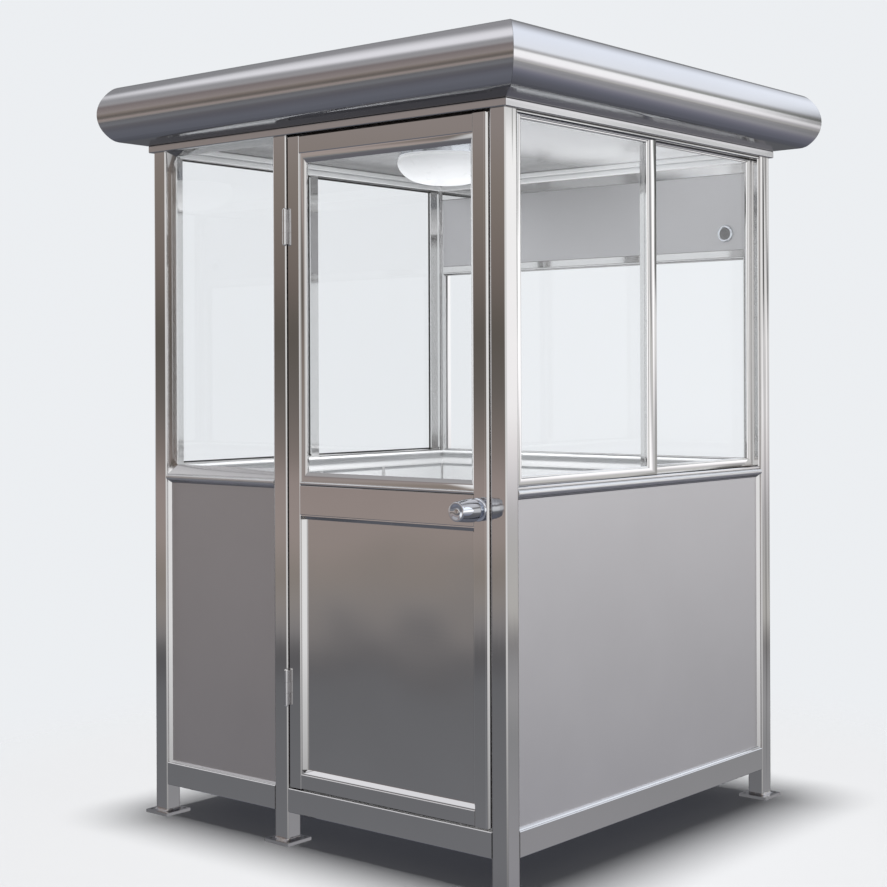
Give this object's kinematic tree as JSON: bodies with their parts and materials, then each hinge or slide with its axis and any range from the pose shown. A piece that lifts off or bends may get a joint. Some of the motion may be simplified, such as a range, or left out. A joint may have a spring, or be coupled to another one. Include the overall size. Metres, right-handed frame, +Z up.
{
  "type": "security guard booth",
  "caption": "Square stainless steel guard booth with glazed walls, a hinged glass door with a knob, and a flat roof with bullnosed overhanging eaves.",
  "frame": {"origin": "on the ground under the middle of the square plan", "axes": "+Z up, -Y out of the front wall with the door, +X to the right seen from the front"},
  "size_m": [1.764, 1.764, 2.439],
  "materials": {
    "frame_steel": "satin",
    "sheet_steel": "satin",
    "roof_steel": "polished",
    "trim_steel": "polished",
    "floor_plate": "satin",
    "white_panel": "satin",
    "window_glass": "gloss",
    "lamp_white": "gloss",
    "chrome": "polished",
    "seal_rubber": "matte"
  },
  "bodies": {
    "booth": {"inner_linings": "white_panel", "door_stops": "frame_steel", "front_left_post": "frame_steel", "front_right_post": "frame_steel", "rear_left_post": "frame_steel", "rear_right_post": "frame_steel", "hinge_post": "frame_steel", "base_plates": "frame_steel", "base_rails": "frame_steel", "door_threshold": "frame_steel", "floor_panel": "floor_plate", "front_lower_panel": "sheet_steel", "right_lower_panel": "sheet_steel", "rear_lower_panel": "sheet_steel", "left_lower_panel": "sheet_steel", "belt_trims": "trim_steel", "front_window_frame": "frame_steel", "right_window_frame": "frame_steel", "rear_window_frame": "frame_steel", "left_window_frame": "frame_steel", "window_sashes": "trim_steel", "front_window_glass": "window_glass", "right_window_glass": "window_glass", "rear_window_glass": "window_glass", "left_window_glass": "window_glass", "rear_upper_panel": "sheet_steel", "cable_ports": "chrome", "ring_beam": "roof_steel", "front_eaves": "roof_steel", "right_eaves": "roof_steel", "rear_eaves": "roof_steel", "left_eaves": "roof_steel", "roof_deck": "sheet_steel", "ceiling_panel": "sheet_steel", "ceiling_light_base": "chrome", "ceiling_light_diffuser": "lamp_white", "hinge_frame_leaves": "chrome"},
    "door": {"door_hinge_stile": "frame_steel", "door_lock_stile": "frame_steel", "door_rails": "frame_steel", "door_glazing_beads": "trim_steel", "door_glass": "window_glass", "door_lower_panel": "sheet_steel", "door_panel_mouldings": "trim_steel", "hinge_door_leaves": "chrome", "knob_roses": "chrome"},
    "knob": {"door_knob": "chrome"}
  },
  "joints": [
    {"name": "door_hinge", "type": "hinge", "parent": "booth", "child": "door", "pos_m": [-0.1165, -0.7575, 0], "axis": [0, 0, -1], "range_deg": [0, 170]},
    {"name": "knob_turn", "type": "hinge", "parent": "door", "child": "knob", "pos_m": [0.645, -0.748, 1.084], "axis": [0, -1, 0], "range_deg": [-60, 60], "stiffness_Nm_per_rad": 0.6}
  ]
}
